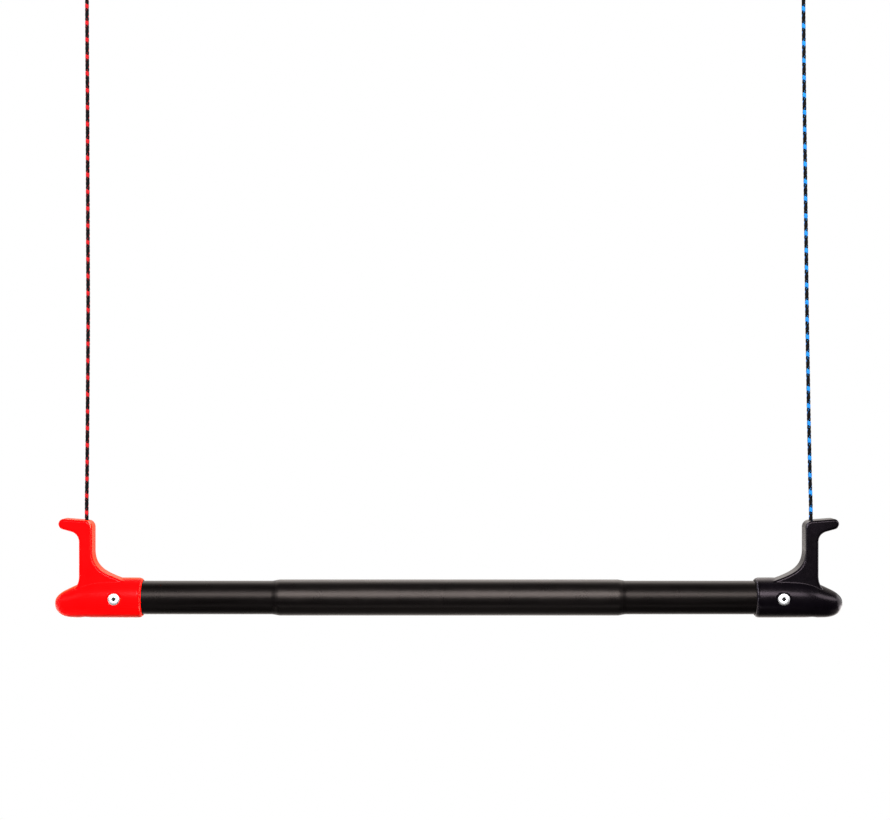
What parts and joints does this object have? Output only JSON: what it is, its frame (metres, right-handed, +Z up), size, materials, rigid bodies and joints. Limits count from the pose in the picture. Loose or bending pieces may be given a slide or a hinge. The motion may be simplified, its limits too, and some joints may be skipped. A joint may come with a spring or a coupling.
{
  "type": "kite control bar",
  "caption": "Straight padded control bar with a riveted winder cap on each end and a braided leader line rising from each cap to an end loop.",
  "frame": {"origin": "on the tube's axis, half way along the bar, where the hands hold it", "axes": "+X along the bar towards the black cap, +Z up along the pulled leader lines, -Y towards the viewer of the riveted front"},
  "size_m": [0.5036, 0.0264, 0.4416],
  "materials": {
    "red_plastic": "semi-gloss moulded",
    "black_plastic": "semi-gloss moulded",
    "bar_skin": "satin",
    "pad_foam": "matt closed-cell foam",
    "tube_alloy": "drawn",
    "rivet_alloy": "bright",
    "mandrel_steel": "plain",
    "red_leader": "braided, black with red flecks",
    "blue_leader": "braided, black with blue flecks"
  },
  "bodies": {
    "bar": {"bar_tube": "tube_alloy", "grip_pad": "pad_foam", "tube_cover": "bar_skin", "end_cap_left": "red_plastic", "tube_bung_left": "pad_foam", "rivet_left_front": "rivet_alloy", "mandrel_left_front": "mandrel_steel", "rivet_left_back": "rivet_alloy", "mandrel_left_back": "mandrel_steel", "stopper_knot_left": "red_leader", "leader_stub_left": "red_leader", "end_cap_right": "black_plastic", "tube_bung_right": "pad_foam", "rivet_right_front": "rivet_alloy", "mandrel_right_front": "mandrel_steel", "rivet_right_back": "rivet_alloy", "mandrel_right_back": "mandrel_steel", "stopper_knot_right": "blue_leader", "leader_stub_right": "blue_leader"},
    "left_neck": {"leader_neck_left": "red_leader"},
    "left_leader": {"leader_line_left": "red_leader", "loop_knot_left": "red_leader", "end_loop_left": "red_leader"},
    "right_neck": {"leader_neck_right": "blue_leader"},
    "right_leader": {"leader_line_right": "blue_leader", "loop_knot_right": "blue_leader", "end_loop_right": "blue_leader"}
  },
  "joints": [
    {"name": "left_leader_fore_aft", "type": "hinge", "parent": "bar", "child": "left_neck", "pos_m": [-0.2317, 0, 0.0501], "axis": [1, 0, 0], "range_deg": [-60, 60]},
    {"name": "left_leader_side_swing", "type": "hinge", "parent": "left_neck", "child": "left_leader", "pos_m": [-0.2317, 0, 0.0566], "axis": [0, 1, 0], "range_deg": [-60, 35]},
    {"name": "right_leader_fore_aft", "type": "hinge", "parent": "bar", "child": "right_neck", "pos_m": [0.2317, 0, 0.0501], "axis": [1, 0, 0], "range_deg": [-60, 60]},
    {"name": "right_leader_side_swing", "type": "hinge", "parent": "right_neck", "child": "right_leader", "pos_m": [0.2317, 0, 0.0566], "axis": [0, 1, 0], "range_deg": [-35, 60]}
  ]
}
